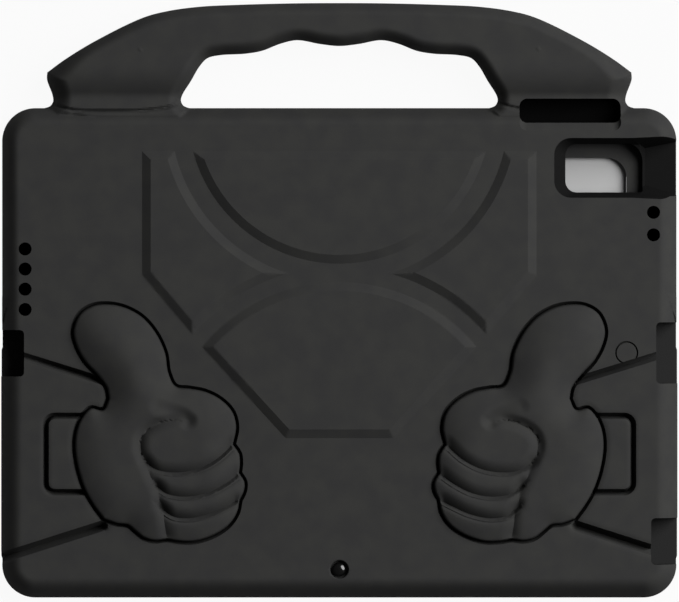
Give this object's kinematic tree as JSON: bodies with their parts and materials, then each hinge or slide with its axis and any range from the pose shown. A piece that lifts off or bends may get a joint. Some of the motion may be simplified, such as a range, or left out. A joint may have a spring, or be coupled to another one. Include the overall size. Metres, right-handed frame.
{
  "type": "kids tablet case",
  "caption": "Soft foam tablet case with a carry handle, raised back pattern and thumbs-up fists moulded on the back; a tablet presses in from the front.",
  "frame": {"origin": "middle of the case's box, on the plane of its front rim", "axes": "+X along the case's width, +Y towards the carry handle, +Z out of the back; the case lies on its front rim"},
  "size_m": [0.2798, 0.2458, 0.0284],
  "materials": {
    "eva_foam": "matte moulded EVA foam with a fine grain",
    "stud_plastic": "glossy black moulded plastic"
  },
  "bodies": {
    "root": {"foam_case": "eva_foam", "round_stud": "stud_plastic"}
  },
  "joints": []
}
